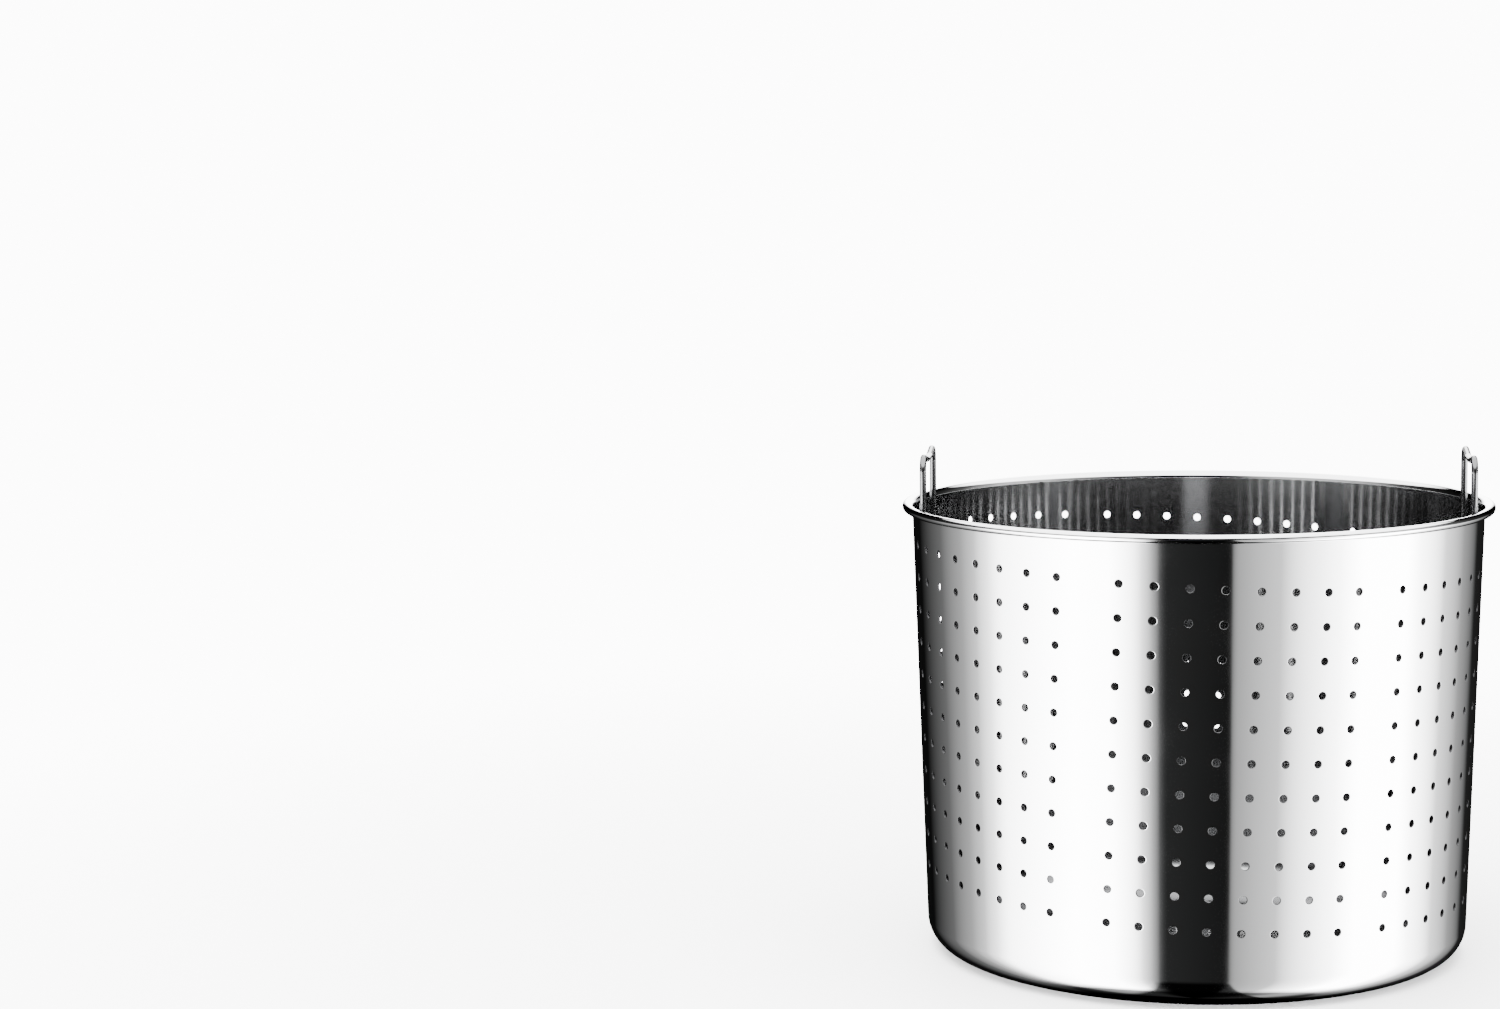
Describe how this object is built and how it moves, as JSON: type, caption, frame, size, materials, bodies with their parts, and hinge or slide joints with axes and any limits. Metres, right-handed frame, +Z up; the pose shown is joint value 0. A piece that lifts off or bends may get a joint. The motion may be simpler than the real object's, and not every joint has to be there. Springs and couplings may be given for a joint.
{
  "type": "strainer basket",
  "caption": "Deep perforated steel basket with a rolled rim and two folding wire handles, lifted in and out of a large stock pot to drain food",
  "frame": {"origin": "centre of the underside of the base, on the surface the basket stands on", "axes": "Z up along the basket's axis, X through the two handles, Y along both hinge axes with the front of the picture at -Y"},
  "size_m": [0.3518, 0.3517, 0.3009],
  "materials": {
    "polished_steel": "mirror-polished stainless sheet",
    "plain_wire": "drawn steel wire, hidden in the rim",
    "polished_wire": "polished stainless wire",
    "satin_steel": "satin pressed stainless, spot-welded"
  },
  "bodies": {
    "basket": {"basket_shell": "polished_steel", "rim_core_wire": "plain_wire", "left_front_lug": "satin_steel", "left_rear_lug": "satin_steel", "right_front_lug": "satin_steel", "right_rear_lug": "satin_steel"},
    "left_handle": {"left_handle": "polished_wire"},
    "right_handle": {"right_handle": "polished_wire"}
  },
  "joints": [
    {"name": "left_handle_fold", "type": "hinge", "parent": "basket", "child": "left_handle", "pos_m": [-0.161, 0, 0.251], "axis": [0, 1, 0], "range_deg": [0, 170]},
    {"name": "right_handle_fold", "type": "hinge", "parent": "basket", "child": "right_handle", "pos_m": [0.161, 0, 0.251], "axis": [0, -1, 0], "range_deg": [0, 170]}
  ]
}
